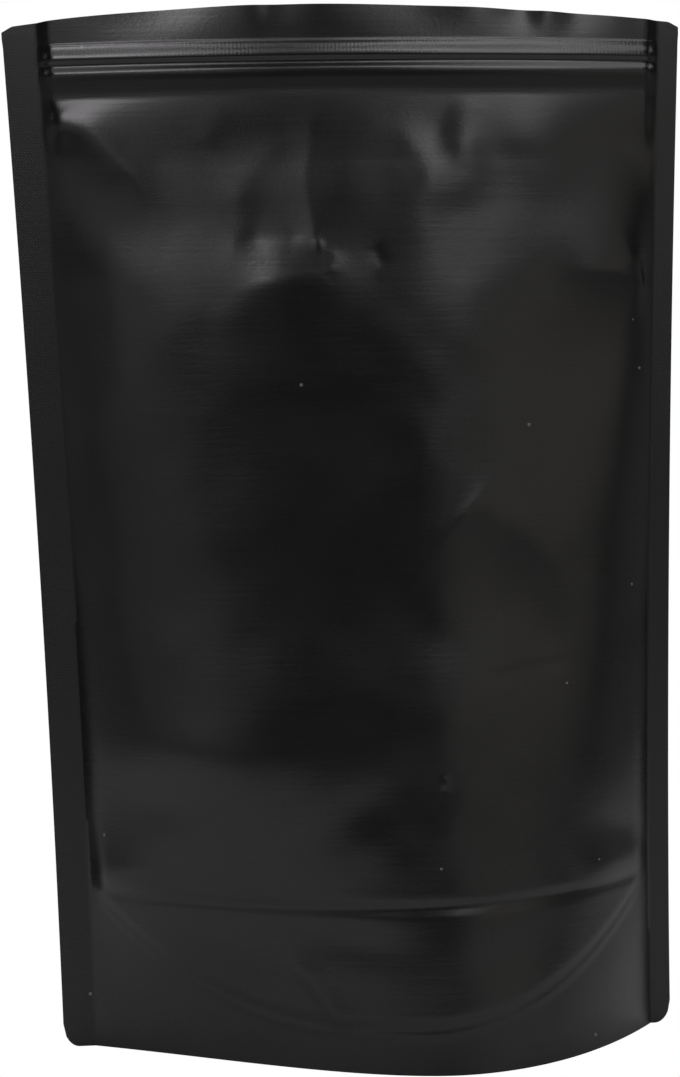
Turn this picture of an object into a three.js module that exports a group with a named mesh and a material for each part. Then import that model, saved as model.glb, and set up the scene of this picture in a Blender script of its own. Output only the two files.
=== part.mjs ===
// A stand-up pouch of black film: a shut bag with flat side seals, a press-to-close zipper
// under an open header, and a folded gusset that spreads at the floor so that it stands.
// Millimetres, +Z up, the front facing -Y, the origin under the middle on the floor.

import * as THREE from 'three';
import { mergeVertices } from 'three/addons/utils/BufferGeometryUtils.js';

// Driving dimensions. Lying flat, the pouch is 200 wide and 305 tall.
const TOP_WIDTH = 197.3;
const BASE_WIDTH = 183.7;
const WIDENING = 1.8;
const CORNER_HEIGHT = 300;
const CROWN_HEIGHT = 304.6;
const CROWN_SHIFT = 0.12;
const SEAL_WIDTH = { left: 9.5, right: 6 };
const SEAL_THICKNESS = 1.2;
const TOP_BOW = 9.9;
const HEADER_LEAN = 2.4;
const HEADER_CURVE = 1.6;
const LEAN = 2.3;

// The bulge of each face: how deep it is at the floor, and how much of that opens just under the zipper.
const BASE_DEPTH = 40.1;
const SHOULDER_DEPTH = 3;
const SHOULDER_FLARE = 50;

// A level section is an oval at the floor and under the zipper, and a flat panel between two sides on
// the way. A panel's ends are shares of the half width, and its soft values round them off.
const BASE_SKEW = 0.25;
const BASE_FULLNESS = 1.84;
const TOP_FULLNESS = 2.3;
const FRONT_PANEL = { left: 0.43, leftSoft: 0.36, right: 0.24, rightSoft: 0.12 };
const BACK_PANEL = { left: 0.35, leftSoft: 0.25, right: 0.4, rightSoft: 0.25 };
const STRAIGHT_FALL = 0.62;

// The heights over which a level section turns from the floor's oval into the panel, and from the
// panel into the oval under the zipper, and over which the bow at the top begins.
const FOOT_BLEND = { from: 10, to: 100 };
const TOP_BLEND = { from: 225, to: 255 };
const BOW_BLEND = { from: 120, to: 280 };

// The zipper band. The film shows its rails as ribs: pairs of height and how far the film stands out.
const ZIPPER_BOTTOM = 279;
const ZIPPER_TOP = 294.4;
const BAND_HALF_THICKNESS = 2.1;
const BAND_TAPER = 7;
const BAND_RISE = 20;
const ZIPPER_RIBS = [
  [279, 0], [280.4, 0.25], [281.4, 0], [284.4, 0.3], [285.6, 0],
  [286.5, 0.6], [288.2, 0.6], [288.9, 0], [289.6, 0.8], [293.7, 0.8], [294.4, 0],
];

// The header slot between the two lips, and the zipper strip that closes it.
const HEADER_HALF_THICKNESS = 1.8;
const SLOT_HALF_WIDTH = { header: 0.8, zipper: 1.3 };
const SLOT_END_GAP = 1.5;
const SLOT_TAPER = 3;
const SLOT_FLOOR = 279.5;
const STRIP = { bottom: 281.5, top: 293.5, halfThickness: 0.9, endGap: 5 };
// The strip's cross-section: pairs of share of its height and share of its half thickness.
const STRIP_PROFILE = [
  [0, 0], [0, 0.5], [0.3, 0.5], [0.36, 1], [0.6, 1], [0.66, 0.6], [0.94, 0.6], [1, 0.4], [1, 0],
];

// The gusset under the pouch: a foot ring on the floor and a folded vault inside it.
const GUSSET_HEIGHT = 48;
const FOLD_MIDDLE_HEIGHT = 20;
const FOOT_WIDTH = 2;
const VAULT_END_GAP = 8;
const VAULT_SAG = 0.77;

// Rounded bottom corners and clipped top corners.
const CORNER_ROUND = { across: 4.7, up: 7 };
const CORNER_CLIP = { across: 3, down: 1.3 };

// How finely the surface is divided.
const SEAL_STEPS = [0, 0.05, 0.15, 0.3, 0.5, 0.75];
const LENS_COLUMNS = 38;
const CROWDING = 0.4;
const BODY_HEIGHTS = [
  0, 4, 9, 16, 25, 36, 44, 51, 58, 68, 80, 93, 106, 119, 131, 142, 152, 162, 173, 185, 197, 208,
  217, 222.5, 228, 233, 239, 246, 253, 259, 264.5, 269.5, 273.5, 277,
];
const HEADER_HEIGHTS = [299.5, CROWN_HEIGHT];
const SLOT_HEIGHTS = [295.5, 294, 281.5];
const VAULT_SHARES = [0.15, 0.4, 0.65, 0.85];
const STRIP_COLUMNS = 24;
const PATH_STEPS = 24;

// The large forms of the film. Each is a ridge (height above 0) or a dent (below 0) along a path of
// x, z points, with the widths of its left and right sides and the share of its length that fades out
// at its start and its end. A power of 1 makes a side fall straight from the crest, and a larger one
// keeps it level at first.
const ROUND_POWERS = [1.4, 1.4];
const FRONT_FORMS = [
  { path: [[-89, 274], [-73, 265], [-57, 246], [-50, 235]], height: 5.5, sides: [13, 6], fade: [0.05, 0.85] },
  {
    path: [[-10, 281], [-12.6, 255], [-9, 226]], height: 4.2, sides: [34, 40], fade: [0.05, 0.4],
    powers: [2.6, 1],
  },
  {
    path: [[-44, 220], [-28, 225], [-7, 227.6]], height: 2.8, sides: [13, 14], fade: [0.95, 0.12],
    powers: [1, 1.4],
  },
  { path: [[64, 281], [50, 271.4], [34, 254]], height: 2.4, sides: [7, 18], fade: [0.05, 0.35] },
  { path: [[60, 226], [77, 227.6], [88, 224]], height: 1.8, sides: [14, 10], fade: [0.6, 0.05] },
  { path: [[19.5, 148], [36.5, 160], [70, 121]], height: 2, sides: [14, 8], fade: [0.1, 0.6] },
  { path: [[-84, 51], [-70, 54.5], [-50, 56]], height: 2.2, sides: [9, 5], fade: [0.08, 0.7] },
  { path: [[60, 50], [74, 53.5], [88, 54]], height: 1.4, sides: [8, 5], fade: [0.5, 0.1] },
  { path: [[-74, 78], [-46, 72]], height: -1.6, sides: [12, 12], fade: [0.5, 0.5] },
  { path: [[60, 222], [66, 170]], height: -1.6, sides: [17, 17], fade: [0.5, 0.5] },
];
const BACK_FORMS = [
  { path: [[-84, 274], [-70, 262], [-62, 240]], height: 2.2, sides: [14, 8], fade: [0.3, 0.3] },
  { path: [[86, 274], [72, 264], [64, 244]], height: 2.4, sides: [8, 14], fade: [0.3, 0.3] },
  { path: [[-18, 232], [4, 226], [26, 230]], height: 2, sides: [10, 18], fade: [0.3, 0.3] },
  { path: [[-70, 178], [-48, 150], [-40, 120]], height: 1.8, sides: [10, 7], fade: [0.3, 0.3] },
  { path: [[76, 120], [58, 106], [46, 84]], height: 1.8, sides: [9, 9], fade: [0.3, 0.3] },
  { path: [[-52, 236], [-52, 178]], height: -1.8, sides: [18, 18], fade: [0.5, 0.5] },
  { path: [[48, 200], [48, 140]], height: -1.8, sides: [16, 16], fade: [0.5, 0.5] },
];

// Over what lengths the forms fade out at the side seals, under the zipper and at the foot.
const FORM_EDGE_FADE = 9;
const FORM_TOP_FADE = 14;
const FORM_FOOT_FADE = 30;

const FRONT = -1;
const BACK = 1;

/** Eases from 0 to 1 with level ends as value goes from 0 to 1. */
function ease(value) {
  const t = THREE.MathUtils.clamp(value, 0, 1);
  return t * t * (3 - 2 * t);
}

/** Eases from 0 to 1 as the height z goes from one end of a span to the other. */
function blend(z, span) {
  return ease((z - span.from) / (span.to - span.from));
}

function halfWidth(z) {
  const share = THREE.MathUtils.clamp(z / CORNER_HEIGHT, 0, 1);
  return BASE_WIDTH / 2 + (TOP_WIDTH - BASE_WIDTH) / 2 * share ** WIDENING;
}

function middleX(z) {
  return LEAN * (1 - z / CORNER_HEIGHT);
}

/** The ends of the filled part at a height: where the side seals stop. */
function sealEdges(z) {
  return {
    left: middleX(z) - halfWidth(z) + SEAL_WIDTH.left,
    right: middleX(z) + halfWidth(z) - SEAL_WIDTH.right,
  };
}

/** The sheet halfway between front and back: bowed forward at the top, where the header leans back. */
function middleY(x, z) {
  const across = THREE.MathUtils.clamp((x - middleX(z)) / halfWidth(z), -1, 1);
  const header = Math.max(0, (z - ZIPPER_BOTTOM) / (CROWN_HEIGHT - ZIPPER_BOTTOM));
  return (HEADER_LEAN * header ** HEADER_CURVE - TOP_BOW) * (1 - across * across) * blend(z, BOW_BLEND);
}

/** Position between the seals, from -1 at the left seal to 1 at the right one. */
function lensShare(x, z) {
  const { left, right } = sealEdges(z);
  return THREE.MathUtils.clamp((2 * x - left - right) / (right - left), -1, 1);
}

/** The bulge at the middle of a face: an even slope to the floor, a little steeper under the zipper. */
function bulgeDepth(z) {
  const below = Math.max(0, ZIPPER_BOTTOM - z);
  return SHOULDER_DEPTH * (1 - Math.exp(-below / SHOULDER_FLARE))
    + (BASE_DEPTH - SHOULDER_DEPTH) * below / ZIPPER_BOTTOM;
}

/** How far a side of a section has fallen after its run from the panel's end: ever more steeply. */
function sideFall(run, soft) {
  const rounded = (run + Math.sqrt(run * run + soft * soft)) / 2;
  return STRAIGHT_FALL * rounded + (1 - STRAIGHT_FALL) * rounded ** 4;
}

/** The level section of the body: a panel with two falling sides, brought to 0 at both seals. */
function bodySection(share, side) {
  const panel = side === FRONT ? FRONT_PANEL : BACK_PANEL;
  const height = (at) => 1
    - sideFall((-at - panel.left) / (1 - panel.left), panel.leftSoft)
    - sideFall((at - panel.right) / (1 - panel.right), panel.rightSoft);
  return height(share) - (1 - share) / 2 * height(-1) - (1 + share) / 2 * height(1);
}

/** The outline of a level section, from 1 at its fullest to 0 at the seals. */
function sectionShare(x, z, side) {
  const share = lensShare(x, z);
  const skew = side === FRONT ? BASE_SKEW : 0;
  const foot = 1 - Math.abs(share - skew * (1 - share * share)) ** BASE_FULLNESS;
  const top = 1 - Math.abs(share) ** TOP_FULLNESS;
  const body = THREE.MathUtils.lerp(bodySection(share, side), top, blend(z, TOP_BLEND));
  return Math.max(0, THREE.MathUtils.lerp(foot, body, blend(z, FOOT_BLEND)));
}

/** A form with its path laid along its chord: how far along each point is, and how far to its left. */
function laidOut(form) {
  const points = form.path.map(([x, z]) => new THREE.Vector2(x, z));
  const start = points[0];
  const ahead = points.at(-1).clone().sub(start);
  const length = ahead.length();
  ahead.normalize();
  const curve = new THREE.SplineCurve(points).getPoints(PATH_STEPS).map((point) => {
    const from = point.sub(start);
    return { run: from.dot(ahead), left: ahead.cross(from) };
  });
  return { ...form, start, ahead, length, curve };
}

/** How far left of its chord a form's path lies at a run along it. */
function pathLeft(curve, run) {
  const next = curve.findIndex((point) => point.run >= run);
  if (next < 0) return curve.at(-1).left;
  if (next === 0) return curve[0].left;
  const [a, b] = [curve[next - 1], curve[next]];
  return THREE.MathUtils.mapLinear(run, a.run, b.run, a.left, b.left);
}

/** How far one form lifts the film: it falls away on both sides, and its ends fade out like fans. */
function formLift(form, x, z) {
  const from = new THREE.Vector2(x, z).sub(form.start);
  const run = from.dot(form.ahead);
  const beside = form.ahead.cross(from) - pathLeft(form.curve, run);
  const away = Math.abs(beside);
  const side = beside > 0 ? 0 : 1;
  const power = (form.powers ?? ROUND_POWERS)[side];
  const [first, last] = form.fade.map((share) => share * form.length);
  const begun = ease(0.5 + (run - first / 2) / (first + away));
  const ending = ease(0.5 + (form.length - run - last / 2) / (last + away));
  return form.height * Math.exp(-((away / form.sides[side]) ** power)) * begun * ending;
}

const FORMS = { [FRONT]: FRONT_FORMS.map(laidOut), [BACK]: BACK_FORMS.map(laidOut) };

/** The zipper rails' relief at a height, read between the pairs of ZIPPER_RIBS. */
function ribRelief(z) {
  for (let i = 1; i < ZIPPER_RIBS.length; i += 1) {
    const [lower, from] = ZIPPER_RIBS[i - 1];
    const [upper, to] = ZIPPER_RIBS[i];
    if (z >= lower && z <= upper) return from + (to - from) * (z - lower) / (upper - lower);
  }
  return 0;
}

/** The sum of a face's forms, fading out at the seals, under the zipper and at the foot. */
function formRelief(x, z, side) {
  const lift = FORMS[side].reduce((sum, form) => sum + formLift(form, x, z), 0);
  const { left, right } = sealEdges(z);
  const inside = ease(Math.min(x - left, right - x) / FORM_EDGE_FADE);
  const below = 1 - Math.exp(-Math.max(0, ZIPPER_BOTTOM - z) / FORM_TOP_FADE);
  return lift * inside * below * ease(z / FORM_FOOT_FADE);
}

/** Half the thickness of the whole pouch at one place, measured from the middle sheet. */
function halfThickness(x, z, side) {
  const { left, right } = sealEdges(z);
  const seal = SEAL_THICKNESS / 2;
  const lips = z > ZIPPER_TOP ? HEADER_HALF_THICKNESS : BAND_HALF_THICKNESS;
  const rise = ease((z - ZIPPER_BOTTOM) / BAND_RISE + 1);
  const banded = ease(Math.min(x - left, right - x) / BAND_TAPER) * rise;
  return seal + banded * (lips - seal + ribRelief(z))
    + bulgeDepth(z) * sectionShare(x, z, side) + formRelief(x, z, side);
}

/** Height of the top edge: an arch with its crown a little left of the middle. */
function topEdge(x) {
  const across = THREE.MathUtils.clamp(x / halfWidth(CORNER_HEIGHT), -1, 1);
  const shifted = across + CROWN_SHIFT * (1 - across * across);
  const fromSide = halfWidth(CORNER_HEIGHT) - Math.abs(x);
  const clip = Math.max(0, 1 - fromSide / CORNER_CLIP.across) * CORNER_CLIP.down;
  return CORNER_HEIGHT + (CROWN_HEIGHT - CORNER_HEIGHT) * (1 - shifted * shifted) - clip;
}

/** Height of the bottom edge: on the floor, and round the bottom corners a quarter of an ellipse. */
function bottomEdge(x) {
  const fromSide = halfWidth(0) - Math.abs(x - middleX(0));
  const share = THREE.MathUtils.clamp(1 - fromSide / CORNER_ROUND.across, 0, 1);
  return CORNER_ROUND.up * (1 - Math.sqrt(1 - share * share));
}

/** The true height of a row: the lowest rows follow the bottom edge, the highest the top edge. */
function rowHeight(x, z) {
  const low = Math.max(0, 1 - z / GUSSET_HEIGHT) ** 2;
  const high = Math.max(0, (z - ZIPPER_TOP) / (CROWN_HEIGHT - ZIPPER_TOP));
  return z + bottomEdge(x) * low + (topEdge(x) - CROWN_HEIGHT) * high;
}

/** The x of each column at a height: steps in the left seal, the filled part, the right seal. */
function columnsAt(z) {
  const { left, right } = sealEdges(z);
  const columns = SEAL_STEPS.map((step) => left - SEAL_WIDTH.left * (1 - step));
  for (let i = 0; i <= LENS_COLUMNS; i += 1) {
    const even = 2 * i / LENS_COLUMNS - 1;
    const share = THREE.MathUtils.lerp(even, Math.sin(even * Math.PI / 2), CROWDING);
    columns.push((left + right) / 2 + (right - left) / 2 * share);
  }
  const rightSteps = [...SEAL_STEPS].reverse();
  return [...columns, ...rightSteps.map((step) => right + SEAL_WIDTH.right * (1 - step))];
}

/** One closed loop of points: the front from left to right, then the back from right to left. */
function loop(columns, pointAt) {
  const front = columns.map((x) => pointAt(x, FRONT));
  const back = columns.map((x) => pointAt(x, BACK)).reverse();
  return [...front, ...back];
}

/** The loop round the outside of the pouch at a height. */
function outsideLoop(z) {
  return loop(columnsAt(z), (x, side) => {
    const y = middleY(x, z) + side * halfThickness(x, z, side);
    return new THREE.Vector3(x, y, rowHeight(x, z));
  });
}

/** The loop round the header slot at a height, drawn to a point at each end. */
function slotLoop(z, halfSlot) {
  const { left, right } = sealEdges(CORNER_HEIGHT);
  const ends = [left + SLOT_END_GAP, right - SLOT_END_GAP];
  return loop(columnsAt(CROWN_HEIGHT), (x, side) => {
    const held = THREE.MathUtils.clamp(x, ends[0], ends[1]);
    const taper = ease(Math.min(held - ends[0], ends[1] - held) / SLOT_TAPER);
    return new THREE.Vector3(held, middleY(held, z) + side * halfSlot * taper, rowHeight(held, z));
  });
}

/** Height of the gusset's fold: low in the middle, and up to the full gusset at the seals. */
function foldHeight(x) {
  return FOLD_MIDDLE_HEIGHT + (GUSSET_HEIGHT - FOLD_MIDDLE_HEIGHT) * Math.abs(lensShare(x, 0)) ** 3;
}

/** A loop inside the gusset vault: at share 0 it is the foot's inner edge, at share 1 the fold. */
function vaultLoop(share) {
  const { left, right } = sealEdges(0);
  const ends = [left + VAULT_END_GAP, right - VAULT_END_GAP];
  return loop(columnsAt(0), (x, side) => {
    const held = THREE.MathUtils.clamp(x, ends[0], ends[1]);
    const inner = halfThickness(held, 0, side) - FOOT_WIDTH;
    const depth = x === held ? inner * (1 - share) ** VAULT_SAG : 0;
    return new THREE.Vector3(held, side * depth, foldHeight(held) * share);
  });
}

/** Sews loops of equal length into one closed surface whose first and last loops have closed up. */
function sew(loops) {
  const count = loops[0].length;
  const positions = loops.flat().flatMap((point) => [point.x, point.y, point.z]);
  const faces = [];
  for (let row = 1; row < loops.length; row += 1) {
    for (let i = 0; i < count; i += 1) {
      const next = (i + 1) % count;
      const [a, b] = [(row - 1) * count + i, (row - 1) * count + next];
      const [c, d] = [row * count + next, row * count + i];
      faces.push(a, b, c, a, c, d);
    }
  }
  const geometry = new THREE.BufferGeometry();
  geometry.setAttribute('position', new THREE.Float32BufferAttribute(positions, 3));
  geometry.setIndex(faces);
  return withoutEmptyFaces(mergeVertices(geometry, 1e-4));
}

/** Drops the triangles that merging has drawn down to a line. */
function withoutEmptyFaces(geometry) {
  const index = geometry.getIndex().array;
  const kept = [];
  for (let i = 0; i < index.length; i += 3) {
    const [a, b, c] = index.slice(i, i + 3);
    if (a !== b && b !== c && c !== a) kept.push(a, b, c);
  }
  geometry.setIndex(kept);
  geometry.computeVertexNormals();
  return geometry;
}

/** The film bag: from the gusset's fold out over the foot, up the outside and down into the slot. */
function pouchGeometry() {
  const vault = [1, ...[...VAULT_SHARES].reverse(), 0].map(vaultLoop);
  const outside = [...BODY_HEIGHTS, ...ZIPPER_RIBS.map(([z]) => z), ...HEADER_HEIGHTS].map(outsideLoop);
  const slot = [CROWN_HEIGHT, ...SLOT_HEIGHTS].map((z) => {
    const half = z < ZIPPER_TOP ? SLOT_HALF_WIDTH.zipper : SLOT_HALF_WIDTH.header;
    return slotLoop(z, half);
  });
  return sew([...vault, ...outside, ...slot, slotLoop(SLOT_FLOOR, 0)]);
}

/** The zipper strip: a bar that follows the header's bow, with its two rails as steps in it. */
function zipperGeometry() {
  const { left, right } = sealEdges(CORNER_HEIGHT);
  const ends = [left + STRIP.endGap, right - STRIP.endGap];
  const columns = Array.from(
    { length: STRIP_COLUMNS + 1 },
    (_, i) => ends[0] + (ends[1] - ends[0]) * i / STRIP_COLUMNS,
  );
  const height = STRIP.top - STRIP.bottom;
  const loops = STRIP_PROFILE.map(([up, thick]) => loop(columns, (x, side) => new THREE.Vector3(
    x,
    middleY(x, STRIP.bottom + up * height) + side * thick * STRIP.halfThickness,
    STRIP.bottom + up * height,
  )));
  return sew(loops);
}

function part(name, geometry, material) {
  const mesh = new THREE.Mesh(geometry, new THREE.MeshStandardMaterial(material));
  mesh.name = name;
  return mesh;
}

const pouch = new THREE.Group();
pouch.add(part('pouch', pouchGeometry(), { color: 0x1a191b, roughness: 0.45, metalness: 0 }));
pouch.add(part('zipper', zipperGeometry(), { color: 0x242326, roughness: 0.35, metalness: 0 }));

export default pouch;
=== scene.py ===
# %% [markdown]
# # A stand-up pouch of matte black film
#
# The real thing is two faces of laminated film, sealed along both sides, with a press-to-close
# zipper under an open header and a folded gusset that spreads at the foot. This lesson dresses the
# plain solids of the frame with thin film surfaces, computed as arrays from a few named sizes.
# Everything is worked out in millimetres and turned into metres when a mesh is made.

# %% Load the frame
import math

import bpy
import numpy as np
from mathutils import Matrix, Vector


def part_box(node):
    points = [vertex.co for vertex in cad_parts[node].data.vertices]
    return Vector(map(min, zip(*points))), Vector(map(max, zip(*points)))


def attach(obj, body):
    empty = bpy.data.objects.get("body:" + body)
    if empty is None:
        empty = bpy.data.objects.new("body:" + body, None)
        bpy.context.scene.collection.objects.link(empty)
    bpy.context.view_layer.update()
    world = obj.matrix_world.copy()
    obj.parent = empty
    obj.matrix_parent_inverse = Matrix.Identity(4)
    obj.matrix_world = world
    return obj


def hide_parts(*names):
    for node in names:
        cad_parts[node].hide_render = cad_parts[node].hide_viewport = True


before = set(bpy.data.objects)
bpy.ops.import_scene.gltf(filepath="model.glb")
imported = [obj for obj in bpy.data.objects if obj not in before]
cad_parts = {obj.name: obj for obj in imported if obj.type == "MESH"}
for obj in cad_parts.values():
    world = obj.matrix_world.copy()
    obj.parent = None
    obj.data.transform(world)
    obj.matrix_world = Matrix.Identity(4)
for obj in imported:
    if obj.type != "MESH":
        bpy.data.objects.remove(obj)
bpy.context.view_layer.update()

print("frame nodes:", sorted(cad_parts))

# %% [markdown]
# ## The driving sizes
#
# The frame gives the overall width and height. The rest are sizes of the real pouch: how wide its
# seals are, where the zipper lies, and how fast the faces open below it. They could be measured off
# the frame's mesh, but a named size says what it means.

# %% Sizes of the pouch, in millimetres
MM = 0.001
low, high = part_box("pouch")
TOP_WIDTH = (high.x - low.x) / MM
CROWN_HEIGHT = high.z / MM
CORNER_HEIGHT = 300.0
BASE_WIDTH = 183.7
BASE_DEPTH = 40.4
SEAL_LEFT = 9.5
SEAL_RIGHT = 6.0
LEAN = 2.3
TOP_BOW = 9.9
HEADER_LEAN = 2.4
SHOULDER_DEPTH = 3.0
SHOULDER_FLARE = 50.0
ZIPPER_BOTTOM = 279.0
ZIPPER_TOP = 294.4
BAND_HALF = 2.1
HEADER_HALF = 1.8
GUSSET_HEIGHT = 48.0
FOLD_MIDDLE = 20.0
FILM = 0.25
FRONT = -1
BACK = 1
print(f"pouch {TOP_WIDTH:.1f} wide, {CROWN_HEIGHT:.1f} tall, {2 * BASE_DEPTH:.1f} deep, in millimetres")


# %% [markdown]
# ## The filled form
#
# A filled pouch is a lens in plan that shrinks towards the zipper. A cloth simulation could blow up a
# flat bag. Formulas are used instead, because the outline then follows the real one exactly, and the
# faces, the gusset and the zipper can share them.

# %% The plan and the side seals
WIDENING = 1.8
HEADER_CURVE = 1.6
BOW = dict(start=120.0, span=160.0)


def ease(value):
    """Rises from 0 to 1 with level ends: t squared times (3 minus 2t), t held between 0 and 1."""
    t = np.clip(value, 0.0, 1.0)
    return t * t * (3.0 - 2.0 * t)


def ramp(value, start, span):
    """Eases from 0 at the start to 1 a span later."""
    return ease((value - start) / span)


def half_width(z):
    """Half the width at a height: the base's half, plus the growth times the height's share to a power."""
    share = np.clip(z / CORNER_HEIGHT, 0.0, 1.0)
    return BASE_WIDTH / 2 + (TOP_WIDTH - BASE_WIDTH) / 2 * share ** WIDENING


def middle_x(z):
    """The middle of the pouch at a height: it leans evenly to the left from the foot to the top."""
    return LEAN * (1.0 - z / CORNER_HEIGHT)


def seal_edges(z):
    """Where the filled part starts and ends across: the outline less the width of each side seal."""
    return middle_x(z) - half_width(z) + SEAL_LEFT, middle_x(z) + half_width(z) - SEAL_RIGHT


def middle_y(x, z):
    """The sheet halfway between the faces: a parabola across, whose bow eases in up the pouch.

    The header leans back out of the bow, by a power of its height above the zipper's foot."""
    across = np.clip((x - middle_x(z)) / half_width(z), -1.0, 1.0)
    above = np.clip((z - ZIPPER_BOTTOM) / (CROWN_HEIGHT - ZIPPER_BOTTOM), 0.0, None)
    lean = HEADER_LEAN * above ** HEADER_CURVE
    return (lean - TOP_BOW) * (1.0 - across ** 2) * ramp(z, **BOW)


def lens_share(x, z):
    """Position between the seals, from -1 at the left seal to 1 at the right one."""
    left, right = seal_edges(z)
    return np.clip((2.0 * x - left - right) / (right - left), -1.0, 1.0)


def from_seals(x, z):
    """Distance across to the nearer side seal, negative on the seals."""
    left, right = seal_edges(z)
    return np.minimum(x - left, right - x)


print("half width at the foot and the top:", np.round(half_width(np.array([0.0, CORNER_HEIGHT])), 2))


# %% The bulge of a face
BASE_SKEW = 0.25
BASE_FULLNESS = 1.84
TOP_FULLNESS = 2.3
STRAIGHT_FALL = 0.62
PANELS = {
    FRONT: dict(left=0.43, right=0.24, left_soft=0.36, right_soft=0.12),
    BACK: dict(left=0.35, right=0.40, left_soft=0.25, right_soft=0.25),
}
FOOT_BLEND = dict(start=10.0, span=90.0)
TOP_BLEND = dict(start=225.0, span=30.0)


def bulge_depth(z):
    """Depth at the middle of a face: a straight slope to the foot plus an exponential at the top."""
    below = np.clip(ZIPPER_BOTTOM - z, 0.0, None)
    shoulder = SHOULDER_DEPTH * (1.0 - np.exp(-below / SHOULDER_FLARE))
    return shoulder + (BASE_DEPTH - SHOULDER_DEPTH) * below / ZIPPER_BOTTOM


def foot_section(share, side):
    """The level section at the foot: 1 minus |share| to a power, with the front's fullest place moved."""
    skew = BASE_SKEW if side == FRONT else 0.0
    shifted = share - skew * (1.0 - share ** 2)
    return 1.0 - np.abs(shifted) ** BASE_FULLNESS


def side_fall(run, soft):
    """How far a side has fallen after its run: part of the run and part of its fourth power.

    The start is rounded: run becomes half of run plus the root of run squared plus softness squared."""
    rounded = 0.5 * (run + np.sqrt(run ** 2 + soft ** 2))
    return STRAIGHT_FALL * rounded + (1.0 - STRAIGHT_FALL) * rounded ** 4


def body_section(share, side):
    """The level section of the body: a flat panel whose two sides steepen towards the seals.

    It is 1 minus the falls of both sides, less the straight line that brings both ends to 0."""
    panel = PANELS[side]

    def height(at):
        left_run = (-at - panel["left"]) / (1.0 - panel["left"])
        right_run = (at - panel["right"]) / (1.0 - panel["right"])
        return 1.0 - side_fall(left_run, panel["left_soft"]) - side_fall(right_run, panel["right_soft"])

    return height(share) - 0.5 * (1.0 - share) * height(-1.0) - 0.5 * (1.0 + share) * height(1.0)


def section_share(x, z, side):
    """The level section from 1 at its fullest to 0 at the seals: foot, then body, then a round top."""
    share = lens_share(x, z)
    rise = ramp(z, **FOOT_BLEND)
    top = ramp(z, **TOP_BLEND)
    body = body_section(share, side) * (1.0 - top) + (1.0 - np.abs(share) ** TOP_FULLNESS) * top
    mixed = foot_section(share, side) * (1.0 - rise) + body * rise
    return np.clip(mixed, 0.0, None)


print("bulge at 0, 100, 200 and 270 mm:", np.round(bulge_depth(np.array([0, 100, 200, 270.0])), 1))


# %% The top and bottom edges
CROWN_SHIFT = 0.12
CLIP_ACROSS = 3.0
CLIP_DOWN = 1.3
CORNER_ACROSS = 4.7
CORNER_UP = 7.0


def top_edge(x):
    """Height of the top edge: a parabola with its crown a little left, clipped at the corners."""
    across = np.clip(x / half_width(CORNER_HEIGHT), -1.0, 1.0)
    shifted = across + CROWN_SHIFT * (1.0 - across ** 2)
    from_side = half_width(CORNER_HEIGHT) - np.abs(x)
    clip = np.clip(1.0 - from_side / CLIP_ACROSS, 0.0, 1.0) * CLIP_DOWN
    return CORNER_HEIGHT + (CROWN_HEIGHT - CORNER_HEIGHT) * (1.0 - shifted ** 2) - clip


def bottom_edge(x):
    """Height of the bottom edge: on the floor, with a quarter of an ellipse at each corner."""
    from_side = half_width(0.0) - np.abs(x - middle_x(0.0))
    share = np.clip(1.0 - from_side / CORNER_ACROSS, 0.0, 1.0)
    return CORNER_UP * (1.0 - np.sqrt(1.0 - share ** 2))


def row_height(x, z):
    """True height of a row: low rows follow the bottom edge, high rows follow the top edge."""
    low_share = np.clip(1.0 - z / GUSSET_HEIGHT, 0.0, None) ** 2
    high_share = np.clip((z - ZIPPER_TOP) / (CROWN_HEIGHT - ZIPPER_TOP), 0.0, None)
    return z + bottom_edge(x) * low_share + (top_edge(x) - CROWN_HEIGHT) * high_share


print("top edge from left to right:", np.round(top_edge(np.array([-90, 0, 90.0])), 1))


# %% [markdown]
# ## Ridges, dents and creases
#
# Film doesn't stretch, so a filled pouch is covered in soft ridges that start at its seals and in
# a few sharp creases. Noise alone would look like stone. So each form is a path with a steep and a
# gentle side, and a little smooth noise does the rest.

# %% How a crease lifts the film
HINGE_END = 30.0


def smooth_path(points, steps=10):
    """A curve through the points: on each span, a cubic whose slopes come from the neighbours."""
    p = np.array(points, float)
    before = np.vstack([2 * p[0] - p[1], p[:-2]])
    after = np.vstack([p[2:], 2 * p[-1] - p[-2]])
    t = np.linspace(0.0, 1.0, steps, endpoint=False)[:, None, None]
    start, end = p[:-1], p[1:]
    slope_in, slope_out = (end - before) / 2, (after - start) / 2
    spans = ((2 * t ** 3 - 3 * t ** 2 + 1) * start + (t ** 3 - 2 * t ** 2 + t) * slope_in
             + (3 * t ** 2 - 2 * t ** 3) * end + (t ** 3 - t ** 2) * slope_out)
    return np.vstack([spans.transpose(1, 0, 2).reshape(-1, 2), p[-1:]])


def beside_path(x, z, points):
    """For each place, its distance along the path's chord and how far it lies to the path's left.

    Both are measured square to the chord, from the curve's own offset there, so they never jump."""
    path = smooth_path(points)
    chord = path[-1] - path[0]
    length = np.hypot(*chord)
    ahead = chord / length
    run = (x - path[0, 0]) * ahead[0] + (z - path[0, 1]) * ahead[1]
    offset = (z - path[0, 1]) * ahead[0] - (x - path[0, 0]) * ahead[1]
    curve_run = (path - path[0]) @ ahead
    curve_offset = (path[:, 1] - path[0, 1]) * ahead[0] - (path[:, 0] - path[0, 0]) * ahead[1]
    return run, offset - np.interp(run, curve_run, curve_offset), length


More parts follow.
